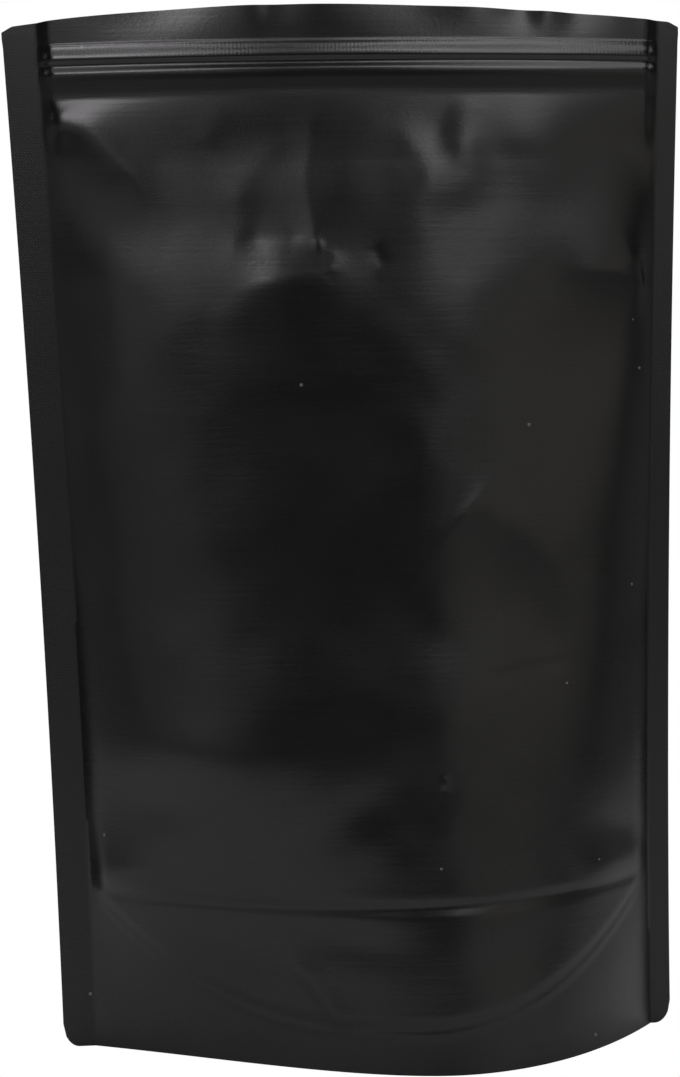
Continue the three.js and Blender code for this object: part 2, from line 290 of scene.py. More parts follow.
def crease(x, z, path, height, left, right, crisp=1.0, fade=(0.3, 0.3), power=(1.4, 1.4)):
    """Lift of a crease: height times an exponential fall on each side of its path.

    left and right are the widths of its two sides, and crisp rounds its crest. Fade is the share of its
    length over which each end dies away, spreading like a fan away from the crest. A power of 1 makes
    a side fall straight from the crest, a larger one keeps it level at first."""
    run, beside, length = beside_path(x, z, path)
    away = np.sqrt(beside ** 2 + crisp ** 2) - crisp
    first, last = fade[0] * length, fade[1] * length
    start = ease(0.5 + (run - first / 2) / (first + away))
    end = ease(0.5 + (length - run - last / 2) / (last + away))
    width = np.where(beside > 0.0, left, right)
    return height * np.exp(-(away / width) ** np.where(beside > 0.0, *power)) * start * end


def hinge(x, z, path, drop, width, reach, side=1.0, crisp=0.4):
    """Drop of a face bent along its path: level on one side, and falling away on the other.

    Past the bend it is the drop times (1 minus an exponential of width), and it comes back to level
    over the reach, as a bell does. Side is 1 to fall on the path's left and -1 on its right."""
    run, beside, length = beside_path(x, z, path)
    past = 0.5 * (side * beside + np.sqrt(beside ** 2 + crisp ** 2))
    ends = ease(0.5 + run / HINGE_END) * ease(0.5 + (length - run) / HINGE_END)
    return -drop * (1.0 - np.exp(-past / width)) * np.exp(-(past / reach) ** 2) * ends


def swell(x, z, centre, radii, height, turn=0.0):
    """Lift of a broad swelling or hollow: a bell over an ellipse, turned by an angle in degrees."""
    c, s = math.cos(math.radians(turn)), math.sin(math.radians(turn))
    dx, dz = x - centre[0], z - centre[1]
    u, v = (c * dx + s * dz) / radii[0], (c * dz - s * dx) / radii[1]
    return height * np.exp(-(u ** 2 + v ** 2))


print("a path through three points has", len(smooth_path([(0, 0), (10, 4), (20, 0)])), "points")

# %% Smooth noise
LATTICE = 64
LATTICE_START = (20.0, 4.0)


def smooth_noise(x, z, size, seed):
    """Even noise between -1 and 1: random values on a grid of that size, eased between its points."""
    random = np.random.default_rng(seed)
    lattice = random.uniform(-1.0, 1.0, (LATTICE, LATTICE))
    u, v = x / size + LATTICE_START[0], z / size + LATTICE_START[1]
    i, j = np.floor(u).astype(int) % (LATTICE - 2), np.floor(v).astype(int) % (LATTICE - 2)
    s, t = ease(u - np.floor(u)), ease(v - np.floor(v))
    near = lattice[i, j] * (1 - s) + lattice[i + 1, j] * s
    far = lattice[i, j + 1] * (1 - s) + lattice[i + 1, j + 1] * s
    return near * (1 - t) + far * t


print("noise at one place:", np.round(smooth_noise(np.array(5.0), np.array(5.0), 26.0, 10), 3))

# %% [markdown]
# The forms are listed by name, each at its real place on the face in millimetres, from the top down.
# A path's left is the left hand of someone who walks along it. The back has its own forms, because
# no two faces crumple alike.

# %% The front's creases
FRONT_CREASES = {
    "corner_ridge": dict(
        path=[(-89, 275), (-85, 273.4), (-75, 270), (-67, 261.5), (-60.5, 255.5), (-50, 240)],
        height=5.3, left=17, right=7, crisp=1.2, fade=(0.1, 0.85), power=(1.1, 1.4)),
    "left_edge": dict(
        path=[(-68, 256), (-67, 236), (-67, 200), (-70, 150)],
        height=1.2, left=22, right=11, crisp=2.0, fade=(0.3, 0.6)),
    "left_fold": dict(path=[(-17, 269), (-26, 260), (-32, 251), (-36, 243)], height=0.55, left=6, right=9),
    "left_faint_fold": dict(path=[(-36, 278), (-39, 271), (-43, 263)], height=0.25, left=4, right=6),
    "middle_nick": dict(
        path=[(-11, 237.6), (-9.6, 236), (-8.2, 234.6)], height=0.22, left=0.9, right=0.9, crisp=0.3),
    "middle_facet": dict(
        path=[(-5.4, 235), (-5.4, 231), (-7.2, 227)],
        height=0.18, left=4, right=1.6, crisp=0.4, power=(1.4, 1.0)),
    "shelf_top": dict(
        path=[(-34, 237.6), (-24, 238.6), (-10, 238.8)],
        height=-0.6, left=10, right=7, crisp=0.5, power=(1.4, 1.0)),
    "shelf": dict(
        path=[(-42, 219), (-28, 224.2), (-11, 227.6), (-2, 228.4), (6, 229)],
        height=1.9, left=15, right=14, crisp=0.5, fade=(0.45, 0.5), power=(1.0, 1.4)),
    "small_mark": dict(path=[(6.4, 236), (8, 232), (10, 229)], height=-0.2, left=1.4, right=2.4, crisp=0.4),
    "right_fold": dict(
        path=[(8, 275), (15, 269), (22.5, 260), (25, 251), (30, 243)],
        height=1.0, left=12, right=6.5, crisp=1.5, fade=(0.4, 0.4)),
    "tip": dict(
        path=[(29, 281), (27.4, 274), (24, 266), (21, 261)],
        height=-0.7, left=5, right=11, crisp=0.8, fade=(0.05, 0.5), power=(1.4, 1.0)),
    "crest": dict(
        path=[(35, 278), (33, 270), (32.5, 262), (34, 256)],
        height=0.5, left=9, right=5, fade=(0.1, 0.4)),
    "right_ridge": dict(
        path=[(77.5, 270), (78.6, 256), (80, 244), (86, 226)],
        height=0.5, left=9, right=9, crisp=2.0, fade=(0.5, 0.15)),
    "right_crease": dict(
        path=[(58, 222), (66, 226.8), (76, 227.6), (88, 225)],
        height=1.8, left=14, right=10, crisp=0.5, fade=(0.6, 0.05), power=(1.4, 1.0)),
    "arc": dict(
        path=[(19.5, 148), (26.5, 156), (36.5, 160), (46, 155), (58, 143), (70, 121)],
        height=0.9, left=15, right=10, fade=(0.1, 0.6)),
    "arc_tip": dict(path=[(21, 192), (20, 170), (19.5, 149), (14, 128)], height=0.7, left=28, right=8),
    "thin_line": dict(path=[(34, 111), (50, 113), (65, 114.5)], height=-0.2, left=0.8, right=1.2, crisp=0.4),
    "nib": dict(path=[(22.6, 81), (23, 81.8), (23.4, 82.6)], height=0.7, left=1.1, right=1.1, crisp=0.3),
    "low_left_ridge": dict(
        path=[(-84, 51), (-70, 54.5), (-50, 56)],
        height=2.2, left=9, right=5, crisp=0.6, fade=(0.08, 0.7)),
    "low_right_line": dict(
        path=[(70, 72), (78, 63), (88, 52)], height=-1.0, left=5, right=7, fade=(0.5, 0.1)),
    "low_right_ridge": dict(
        path=[(60, 50), (74, 53.5), (88, 54)], height=1.4, left=8, right=5, fade=(0.5, 0.1)),
    "slant": dict(path=[(-24, 34), (-17, 26), (-9, 15), (-2, 12)], height=0.8, left=5, right=2, crisp=0.5),
    "foot_curl": dict(path=[(90, 24), (87, 16), (90, 8)], height=0.8, left=2.5, right=2.5),
}
print(len(FRONT_CREASES), "creases on the front")

# %% The front's bends and swellings
FRONT_HINGES = {
    "middle_edge": dict(
        path=[(-10, 285), (-11, 266), (-12.6, 255), (-11.8, 246), (-10.6, 239), (-9, 230)],
        drop=2.2, width=22, reach=44, side=-1.0),
    "right_edge": dict(
        path=[(5, 285), (9, 266), (17, 252), (24, 232)], drop=2.0, width=22, reach=44, crisp=3.0),
}
FRONT_SWELLS = {
    "right_bump": dict(centre=(34.5, 262), radii=(6, 10), height=0.9),
    "right_wave": dict(centre=(55, 267), radii=(15, 11.5), height=2.3, turn=-20),
    "left_oval": dict(centre=(-60, 76), radii=(15, 11), height=-1.3, turn=-10),
    "left_oval_lip": dict(centre=(-48, 92), radii=(14, 8), height=0.8, turn=-25),
    "right_hollow": dict(centre=(62, 196), radii=(17, 30), height=-1.6, turn=-8),
    "right_low_hollow": dict(centre=(52, 128), radii=(12, 22), height=-1.2, turn=14),
    "middle_low": dict(centre=(4, 76), radii=(20, 8), height=-0.6, turn=24),
    "smudge": dict(centre=(-4, 37), radii=(14, 6), height=-0.5, turn=-10),
    "foot_left": dict(centre=(-44, 36), radii=(22, 7), height=0.6, turn=-12),
    "foot_right": dict(centre=(42, 32), radii=(14, 8), height=-0.6, turn=20),
}
print(len(FRONT_HINGES), "bends and", len(FRONT_SWELLS), "swellings on the front")

# %% The back's forms
BACK_CREASES = {
    "left_shoulder": dict(path=[(-84, 274), (-70, 262), (-62, 240)], height=2.2, left=14, right=8),
    "right_shoulder": dict(path=[(86, 274), (72, 264), (64, 244)], height=2.4, left=8, right=14),
    "top_fold": dict(path=[(-30, 273), (-22, 258), (-24, 244)], height=-1.4, left=7, right=6),
    "shelf": dict(path=[(-18, 232), (4, 226), (26, 230)], height=1.4, left=12, right=18),
    "long_fold": dict(path=[(-70, 178), (-48, 150), (-40, 120)], height=1.8, left=10, right=7),
    "right_fold": dict(path=[(76, 120), (58, 106), (46, 84)], height=1.8, left=9, right=9),
    "low_left": dict(path=[(-78, 54), (-62, 58), (-46, 58)], height=2.2, left=8, right=5, fade=(0.08, 0.5)),
    "low_right": dict(path=[(84, 53), (70, 58), (54, 60)], height=2.2, left=5, right=8, fade=(0.08, 0.5)),
    "thin_line": dict(path=[(-20, 190), (0, 194), (22, 190)], height=-0.5, left=1.2, right=1.2, crisp=0.4),
}
BACK_HINGES = {
    "top_edge": dict(path=[(6, 285), (3, 262), (5, 240)], drop=1.6, width=22, reach=44),
}
BACK_SWELLS = {
    "left_hollow": dict(centre=(-52, 206), radii=(18, 28), height=-1.8, turn=8),
    "right_hollow": dict(centre=(48, 170), radii=(16, 30), height=-1.8, turn=-10),
    "middle_low": dict(centre=(-6, 84), radii=(28, 14), height=-1.2, turn=-14),
    "foot": dict(centre=(10, 34), radii=(34, 8), height=-0.8, turn=4),
}
RELIEF = {
    FRONT: (FRONT_CREASES, FRONT_HINGES, FRONT_SWELLS),
    BACK: (BACK_CREASES, BACK_HINGES, BACK_SWELLS),
}
print(sum(len(forms) for forms in RELIEF[BACK]), "forms on the back")


# %% The relief of a face
NOISES = [dict(size=26.0, height=0.35, seed=11), dict(size=11.0, height=0.12, seed=23)]
SEAL_FADE = 6.0
ZIPPER_FADE = 14.0
FOOT_FADE = 12.0


def body_relief(x, z, side):
    """All the forms of a face added up with smooth noise, fading at the seals, the zipper and the foot."""
    lift = np.zeros_like(x)
    for lift_of, forms in zip((crease, hinge, swell), RELIEF[side]):
        lift = lift + sum(lift_of(x, z, **form) for form in forms.values())
    for noise in NOISES:
        lift = lift + noise["height"] * smooth_noise(x, z, noise["size"], noise["seed"] + side)
    below = np.clip(ZIPPER_BOTTOM - z, 0.0, None)
    fade = (1.0 - np.exp(-below / ZIPPER_FADE)) * ease(z / FOOT_FADE)
    return lift * ease(from_seals(x, z) / SEAL_FADE) * fade


print("relief on the shelf:", np.round(body_relief(np.array(-11.0), np.array(227.6), FRONT), 2), "mm")

# %% [markdown]
# The gusset is welded to each face along a curve, low in the middle and up at the sides. Above it the
# face stands out by a small step, and the gusset's fold shows through as a groove.

# %% The curved seal and the fold's groove
ARC = dict(low=11.0, level=20.0, power=2.6)
STEP = dict(height=0.7, width=5.0, lip=0.35, lip_width=1.1)
GROOVE = dict(depth=0.5, width=1.6, sag=1.2)


def bottom_seal_height(x):
    """Height of the curved seal: its lowest, plus the rise to the fold by a power of the lens share."""
    return ARC["low"] + (GUSSET_HEIGHT - ARC["low"]) * np.abs(lens_share(x, ARC["level"])) ** ARC["power"]


def seal_step(x, z):
    """The step above the curved seal: an eased rise, plus a fine lip that is a bell across the seal."""
    above = z - bottom_seal_height(x)
    lip = STEP["lip"] * np.exp(-(above / STEP["lip_width"]) ** 2)
    return STEP["height"] * ease(above / STEP["width"]) + lip


def fold_line(x, z):
    """The fold's groove across the face, 48 mm up: a bell about a line that sags in the middle."""
    away = z - GUSSET_HEIGHT + GROOVE["sag"] * (1.0 - lens_share(x, z) ** 2)
    return -GROOVE["depth"] * np.exp(-(away / GROOVE["width"]) ** 2)


print("curved seal in the middle and at the right:", np.round(bottom_seal_height(np.array([0.0, 80.0])), 1))


# %% [markdown]
# ## The zipper band and the header
#
# The zipper is two plastic rails inside the film. Where it is pressed shut the film shows them as
# two ribs: a wide one with cross teeth and a narrow one below it. At each end the rails are
# crushed flat by the side seal. Above them the two lips hang free and wave a little.

# %% Relief of the zipper and the header
RIBS = {
    "wide": dict(low=288.4, crest=290.0, high=294.2, height=1.1),
    "narrow": dict(low=279.8, crest=285.9, high=288.4, height=1.0),
}
CRUSHED_END = 4.5
BAND_RISE = 20.0
WAVE_HEIGHT = 2.0
WAVE_START = dict(start=292.0, span=18.0)
WAVE_END_POWER = 6
HEADER_WAVES = [
    (-96, -0.5), (-84, 0.4), (-54, -0.7), (-30, 0.5), (-20, 0.1), (-6, 0.5), (20, -0.1),
    (38, 0.45), (51, -0.4), (59, 0.35), (68, -0.35), (80, 0.1), (91, -0.4), (98, 0.1),
]


def between(z, low, low_soft, high, high_soft):
    """1 between two heights and 0 outside them, easing over a softness inside each end."""
    return ramp(z, low, low_soft) * ease((high - z) / high_soft)


def rib_relief(z):
    """The rails' relief: every rib eases up to its crest from below and eases down again above it."""
    lift = np.zeros_like(z)
    for rib in RIBS.values():
        up, down = rib["crest"] - rib["low"], rib["high"] - rib["crest"]
        lift = lift + rib["height"] * between(z, rib["low"], up, rib["high"], down)
    return lift


def band_relief(x, z):
    """Half thickness that the zipper adds over the seals: ribs and lips, crushed towards each end."""
    open_share = ease(from_seals(x, z) / CRUSHED_END)
    lips = np.where(z > ZIPPER_TOP, HEADER_HALF, BAND_HALF)
    rise = ease((z - ZIPPER_BOTTOM) / BAND_RISE + 1.0)
    return open_share * rise * (lips - FILM + rib_relief(z))


def header_wave(x, z):
    """Waves of the free lip: a curve through chosen depths, growing from the zipper to the top edge."""
    curve = smooth_path(HEADER_WAVES)
    ends = 1.0 - lens_share(x, z) ** WAVE_END_POWER
    return WAVE_HEIGHT * ramp(z, **WAVE_START) * np.interp(x, curve[:, 0], curve[:, 1]) * ends


print("the ribs stand out by", [rib["height"] for rib in RIBS.values()], "mm")

# %% The depth of a face
ROLL = dict(left=6.0, right=5.0)
ROLLED_BODY = dict(low=50.0, low_soft=40.0, high=ZIPPER_BOTTOM, high_soft=30.0)
INSIDE_SHARE = 12.0
LOW_FORMS = dict(top=150.0, soft=60.0)


def edge_roll(x, z):
    """The rise beside each side seal: 1 mm less an exponential of the distance from each seal."""
    left, right = seal_edges(z)
    from_left, from_right = np.clip(x - left, 0.0, None), np.clip(right - x, 0.0, None)
    rolled = 1.0 - np.exp(-from_left / ROLL["left"]) - np.exp(-from_right / ROLL["right"])
    return rolled * between(z, **ROLLED_BODY)


def face_depth(x, z, side):
    """How far a face stands out from the middle sheet: its film, bulge and every relief, added up."""
    bulge = bulge_depth(z) * section_share(x, z, side)
    inside = ease((1.0 - np.abs(lens_share(x, z))) * INSIDE_SHARE)
    low_share = inside * ease((LOW_FORMS["top"] - z) / LOW_FORMS["soft"])
    low_forms = (seal_step(x, z) + fold_line(x, z)) * low_share
    film_depth = FILM + band_relief(x, z) + bulge + low_forms + edge_roll(x, z)
    return film_depth + body_relief(x, z, side) + header_wave(x, z) * inside


print("depth of the front half way up:", np.round(face_depth(np.array(0.0), np.array(150.0), FRONT), 1))


# %% [markdown]
# ## Making closed film meshes
#
# Each face is a thin closed shell: a fine grid for the side that shows, a grid three times coarser for
# the hidden side, and a strip that joins their edges. Solidify could thicken the fine grid, but would
# spend half of the triangles on a side that nobody sees.

# %% Grids of places
COARSE = 3
BODY_COLUMNS = 210
SEAL_COLUMNS = {"left": 12, "right": 9}
ROW_SPANS = [
    (0.0, 60.0, 60), (60.0, 220.0, 108), (220.0, ZIPPER_BOTTOM, 72), (ZIPPER_BOTTOM, CROWN_HEIGHT, 60),
]


def columns(z):
    """Across positions at each height: even steps in the left seal, the filled part, the right seal."""
    left, right = seal_edges(z)
    return np.hstack([
        np.linspace(left - SEAL_LEFT, left, SEAL_COLUMNS["left"], endpoint=False),
        np.linspace(left, right, BODY_COLUMNS, endpoint=False),
        np.linspace(right, right + SEAL_RIGHT, SEAL_COLUMNS["right"] + 1),
    ])


def rows():
    """Heights of the rows, in even steps on each span: fine at the foot and the top, coarser between."""
    heights = [np.linspace(start, end, count, endpoint=False) for start, end, count in ROW_SPANS]
    return np.hstack([*heights, [CROWN_HEIGHT]])


def face_places():
    """The x and the nominal height of every grid point of a face."""
    z = rows()
    x = np.vstack([columns(height) for height in z])
    return x, np.broadcast_to(z[:, None], x.shape)


print("a face has", "x".join(str(n) for n in face_places()[0].shape), "points")


# %% From two grids to a closed shell
SHARP_ANGLE = math.radians(50)


def grid_faces(tall, wide, start=0):
    """The four corners of every cell of a grid, turning from right to up."""
    index = start + np.arange(tall * wide).reshape(tall, wide)
    corners = index[:-1, :-1], index[:-1, 1:], index[1:, 1:], index[1:, :-1]
    return np.stack([corner.ravel() for corner in corners], axis=1)


def border(tall, wide, start=0):
    """The grid's edge as one loop: along the bottom, up the right, back along the top, down the left."""
    index = start + np.arange(tall * wide).reshape(tall, wide)
    return np.hstack([index[0, :-1], index[:-1, -1], index[-1, :0:-1], index[:0:-1, 0]])


def join_borders(fine, coarse):
    """Triangles between a fine edge loop and one with a third as many points.

    Each coarse step gets one triangle to its fine middle, and each fine step one to its nearer end."""
    steps = len(fine) // len(coarse)
    start = np.arange(len(coarse)) * steps
    near, far = coarse, np.roll(coarse, -1)
    middle = steps // 2 + 1
    triangles = [np.stack([fine[(start + middle) % len(fine)], near, far], axis=1)]
    for i in range(steps):
        pivot = near if i < middle else far
        a, b = fine[(start + i) % len(fine)], fine[(start + i + 1) % len(fine)]
        triangles.append(np.stack([b, a, pivot], axis=1))
    return np.vstack(triangles)


def add_object(name, data):
    """A new object of the scene, at the origin."""
    added = bpy.data.objects.new(name, data)
    bpy.context.scene.collection.objects.link(added)
    return added


def add_mesh(name, points, faces, sharp_angle):
    """An object from points in millimetres, smooth shaded but for edges sharper than the angle."""
    mesh = bpy.data.meshes.new(name)
    mesh.from_pydata(points * MM, [], faces)
    mesh.shade_smooth()
    mesh.set_sharp_from_angle(angle=sharp_angle)
    return add_object(name, mesh)


def shell(name, shown, hidden, marks, flip=False):
    """A closed mesh from the shown grid and the hidden one, which has every third row and column."""
    tall, wide = shown.shape[:2]
    hidden = hidden[::COARSE, ::COARSE]
    first_hidden = tall * wide
    quads = np.vstack([grid_faces(tall, wide), grid_faces(*hidden.shape[:2], start=first_hidden)[:, ::-1]])
    rim = join_borders(border(tall, wide), border(*hidden.shape[:2], start=first_hidden))
    if flip:
        quads, rim = quads[:, ::-1], rim[:, ::-1]
    points = np.vstack([shown.reshape(-1, 3), hidden.reshape(-1, 3)])
    piece = add_mesh(name, points, quads.tolist() + rim.tolist(), SHARP_ANGLE)
    for mark, values in marks.items():
        both = np.hstack([values.ravel(), values[::COARSE, ::COARSE].ravel()]).astype(np.float32)
        piece.data.attributes.new(mark, "FLOAT", "POINT").data.foreach_set("value", both)
    print(name, "has", 2 * len(quads) + len(rim), "triangles")
    return piece


# %% [markdown]
# ## The front and the back
#
# Both faces use one function, and carry masks for the material: seal is 1 on the welded edges and
# half of that under the curved seal, teeth is 1 on the wide rib, and rails is 1 on the film
# stretched over both rails.

# %% Masks for the material
MARK_BLUR = 1.0
FOOT_MARK = dict(strength=0.5, soft=2.0)
WELD_STRIP = dict(low=278.5, low_soft=1.0, high=284.6, high_soft=1.4)
TEETH = dict(low=RIBS["wide"]["crest"], low_soft=0.5, high=RIBS["wide"]["high"], high_soft=0.5)
RAILS = dict(low=284.5, low_soft=2.0, high=RIBS["wide"]["high"], high_soft=0.5)


def face_marks(x, z):
    """Masks from 0 to 1: welded edges, foot and the strip under the zipper; the teeth; the rails."""
    edges = ease(-from_seals(x, z) / MARK_BLUR + 0.5)
    foot = ease((bottom_seal_height(x) - z) / FOOT_MARK["soft"]) * (z < GUSSET_HEIGHT)
    seal = np.maximum(edges, np.maximum(FOOT_MARK["strength"] * foot, between(z, **WELD_STRIP)))
    inside = 1.0 - edges
    return {"seal": seal, "teeth": between(z, **TEETH) * inside, "rails": between(z, **RAILS) * inside}


print("masks:", list(face_marks(*face_places())))

# %% Build both faces
HOLLOW_DEPTH = 0.9
HOLLOW_SIDE = 6.0
HOLLOW_BODY = dict(low=0.0, low_soft=30.0, high=ZIPPER_BOTTOM, high_soft=8.0)
THINNEST = 0.02


def face(name, side):
    """One face: the middle sheet, moved out by the face's depth, with a hidden side just inside.

    In the filled part the hidden side lies 0.9 mm deeper, so its coarse grid never shows through."""
    x, z = face_places()
    y = middle_y(x, z)
    depth = face_depth(x, z, side)
    hollow = HOLLOW_DEPTH * ease(from_seals(x, z) / HOLLOW_SIDE) * between(z, **HOLLOW_BODY)
    inner = np.maximum(depth - FILM - hollow, THINNEST)
    height = row_height(x, z)
    shown, hidden = (np.stack([x, y + side * out, height], axis=-1) for out in (depth, inner))
    return shell(name, shown, hidden, face_marks(x, z), flip=side == BACK)


front = face("front_film", FRONT)
back = face("back_film", BACK)

# %% [markdown]
# ## The gusset
#
# Seen from below, the gusset is one sheet folded along the middle: it starts at the front's foot,
# rises to the fold and comes down to the back's foot. The fold is low in the middle, where the faces
# stand far apart, and reaches its full 48 mm at the seals.

# %% Build the gusset
GUSSET_COLUMNS = 180
GUSSET_STEPS = 90
GUSSET_INSET = 0.5
FOOT_GAP = 0.15
FOOT_THINNEST = 0.03
GUSSET_LIFT = 0.3
GUSSET_HOLLOW = 0.77
RIPPLE = dict(height=0.35, pitch=4.1, sway=2.0, sway_pitch=13.0, full_depth=12.0)
FOOT_WELD = dict(share=0.12, soft=0.1)


def fold_height(x):
    """Height of the fold: the middle's height plus the rest times the cube of the lens share."""
    return FOLD_MIDDLE + (GUSSET_HEIGHT - FOLD_MIDDLE) * np.abs(lens_share(x, 0.0)) ** 3


def ripple(x, share, foot):
    """Small waves of the slack film: a sine of x whose phase sways, gone at the foot and at the fold."""
    phase = x / RIPPLE["pitch"] + RIPPLE["sway"] * np.sin(x / RIPPLE["sway_pitch"])
    return RIPPLE["height"] * np.sin(phase) * np.sin(np.pi * share) * ease(foot / RIPPLE["full_depth"])


def gusset():
    """The folded sheet: depth falls and height rises as the sheet runs from a foot to the fold."""
    left, right = seal_edges(0.0)
    x = np.linspace(left + GUSSET_INSET, right - GUSSET_INSET, GUSSET_COLUMNS + 1)[None, :]
    run = np.linspace(-1.0, 1.0, GUSSET_STEPS + 1)[:, None]
    share = 1.0 - np.abs(run)
    front_foot, back_foot = (BASE_DEPTH * section_share(x, 0.0, which) for which in (FRONT, BACK))
    foot = np.where(run < 0.0, front_foot, back_foot)
    depth = np.maximum(foot - FOOT_GAP, FOOT_THINNEST) * (1.0 - share) ** GUSSET_HOLLOW
    y = np.where(run < 0.0, FRONT, BACK) * depth
    z = fold_height(x) * share + ripple(x, share, foot) + GUSSET_LIFT * share
    x = np.broadcast_to(x, z.shape)
    seal = ease((FOOT_WELD["share"] - share) / FOOT_WELD["soft"])
    shown, hidden = np.stack([x, y, z], axis=-1), np.stack([x, y, z + FILM], axis=-1)
    return shell("gusset_film", shown, hidden, {"seal": np.broadcast_to(seal, z.shape)}, flip=True)


bottom = gusset()

# %% [markdown]
# ## The zipper strip
#
# Between the lips the two rails show as a strip, pressed together with a fine groove where they
# meet. It is a closed profile carried along the header's bow.

# %% Build the strip
STRIP_BOTTOM = 281.5
STRIP_PROFILE = np.array([
    (0.95, 0.0), (0.95, 6.0), (0.95, 11.2), (0.55, 11.9), (0.2, 12.0), (0.08, 11.2),
    (-0.08, 11.2), (-0.2, 12.0), (-0.55, 11.9), (-0.95, 11.2), (-0.95, 6.0), (-0.95, 0.0),
])
STRIP_STEPS = 240
STRIP_INSET = 2.5
STRIP_CRUSH = dict(share=0.35, soft=6.0)
STRIP_SHARP_ANGLE = math.radians(40)


def strip():
    """The profile's points at each step along the bow, thinner at its two ends, which flat caps close."""
    left, right = seal_edges(CORNER_HEIGHT)
    start, end = left + STRIP_INSET, right - STRIP_INSET
    x = np.linspace(start, end, STRIP_STEPS)[:, None]
    thick, up = STRIP_PROFILE[None, :, 0], STRIP_PROFILE[None, :, 1]
    z = np.broadcast_to(STRIP_BOTTOM + up, (len(x), len(STRIP_PROFILE)))
    full = ease(np.minimum(x - start, end - x) / STRIP_CRUSH["soft"])
    y = middle_y(x, STRIP_BOTTOM) + thick * (STRIP_CRUSH["share"] + (1.0 - STRIP_CRUSH["share"]) * full)
    points = np.stack([np.broadcast_to(x, y.shape), y, z], axis=-1)
    count, sides = y.shape
    index = np.arange(count * sides).reshape(count, sides)
    turned = np.roll(index, -1, axis=1)
    quads = np.stack([index[:-1], index[1:], turned[1:], turned[:-1]], axis=-1).reshape(-1, 4)
    caps = [index[0].tolist(), index[-1, ::-1].tolist()]
    print("zip_strip has", 2 * len(quads) + 2 * (sides - 2), "triangles")
    return add_mesh("zip_strip", points.reshape(-1, 3), quads.tolist() + caps, STRIP_SHARP_ANGLE)


zipper = strip()

# %% [markdown]
# ## The film's material
#
# Matte laminate is a black plastic with a soft sheen: a very dark base, a roughness that varies in
# patches and in faint drawn lines across the web, a fine grain, a few specks of dust, and a knurl
# pressed into the welds. The film and the zipper share the node groups for grain and knurl.

# %% Helpers for node trees
def feed(tree, socket, value):
    """Sets an input to a plain number, or links it to the output it is given."""
    if isinstance(value, (int, float)):
        socket.default_value = value
    else:
        tree.links.new(value, socket)


def maths(tree, operation, first, second=0.0):
    """The output of a math node whose two inputs are outputs of other nodes or plain numbers."""
    node = tree.nodes.new("ShaderNodeMath")
    node.operation = operation
    feed(tree, node.inputs[0], first)
    feed(tree, node.inputs[1], second)
    return node.outputs[0]


def weighted_sum(tree, start, parts):
    """The start value plus each part's output times its own weight."""
    total = start
    for output, weight in parts:
        total = maths(tree, "ADD", total, maths(tree, "MULTIPLY", output, weight))
    return total


def noise_texture(tree, place, scale, detail):
    """The factor of a noise texture at a place."""
    node = tree.nodes.new("ShaderNodeTexNoise")
    feed(tree, node.inputs["Vector"], place)
    feed(tree, node.inputs["Scale"], scale)
    feed(tree, node.inputs["Detail"], detail)
    return node.outputs["Fac"]


def new_group(name, inputs, outputs):
    """An empty shader node group with named float inputs and outputs."""
    group = bpy.data.node_groups.new(name, "ShaderNodeTree")
    for title, value in inputs.items():
        socket = group.interface.new_socket(name=title, in_out="INPUT", socket_type="NodeSocketFloat")
        socket.default_value = value
    for title in outputs:
        group.interface.new_socket(name=title, in_out="OUTPUT", socket_type="NodeSocketFloat")
    return group, group.nodes.new("NodeGroupInput"), group.nodes.new("NodeGroupOutput")


print("node helpers are ready")

# %% Node groups for grain and knurl
GRAIN = dict(scale=1100.0, detail=3.0)
PATCHES = dict(scale=38.0, detail=4.0)
DRAWN_LINES = dict(stretch=(45.0, 45.0, 850.0), detail=3.0)
DUST = dict(scale=60.0, radius=0.03)


def grain_group():
    """Grain, drawn lines, patches and dust from textures of the Object place.

    Height is the grain's noise plus the lines', times the strength. Tone is a broad noise, Lines a
    noise squeezed in Z, and Dust is 1 close to the points of a Voronoi texture."""
    group, given, out = new_group(
        "film grain", {"Scale": GRAIN["scale"], "Strength": 1.0}, ["Height", "Tone", "Lines", "Dust"])
    place = group.nodes.new("ShaderNodeTexCoord").outputs["Object"]
    stretch = group.nodes.new("ShaderNodeMapping")
    stretch.inputs["Scale"].default_value = DRAWN_LINES["stretch"]
    group.links.new(place, stretch.inputs["Vector"])
    fine = noise_texture(group, place, given.outputs["Scale"], GRAIN["detail"])
    broad = noise_texture(group, place, PATCHES["scale"], PATCHES["detail"])
    drawn = noise_texture(group, stretch.outputs["Vector"], 1.0, DRAWN_LINES["detail"])
    cells = group.nodes.new("ShaderNodeTexVoronoi")
    cells.inputs["Scale"].default_value = DUST["scale"]
    group.links.new(place, cells.inputs["Vector"])
    height = maths(group, "MULTIPLY", maths(group, "ADD", fine, drawn), given.outputs["Strength"])
    group.links.new(height, out.inputs["Height"])
    group.links.new(broad, out.inputs["Tone"])
    group.links.new(drawn, out.inputs["Lines"])
    group.links.new(maths(group, "LESS_THAN", cells.outputs["Distance"], DUST["radius"]), out.inputs["Dust"])
    return group


def wave(tree, along, pitch):
    """The sine of a length in metres whose full turn is the pitch in millimetres."""
    turns = maths(tree, "DIVIDE", 2.0 * math.pi / MM, pitch)
    return maths(tree, "SINE", maths(tree, "MULTIPLY", along, turns))


def object_axes(tree):
    """The outputs X, Y and Z of the Object place."""
    parts = tree.nodes.new("ShaderNodeSeparateXYZ")
    tree.links.new(tree.nodes.new("ShaderNodeTexCoord").outputs["Object"], parts.inputs[0])
    return parts.outputs


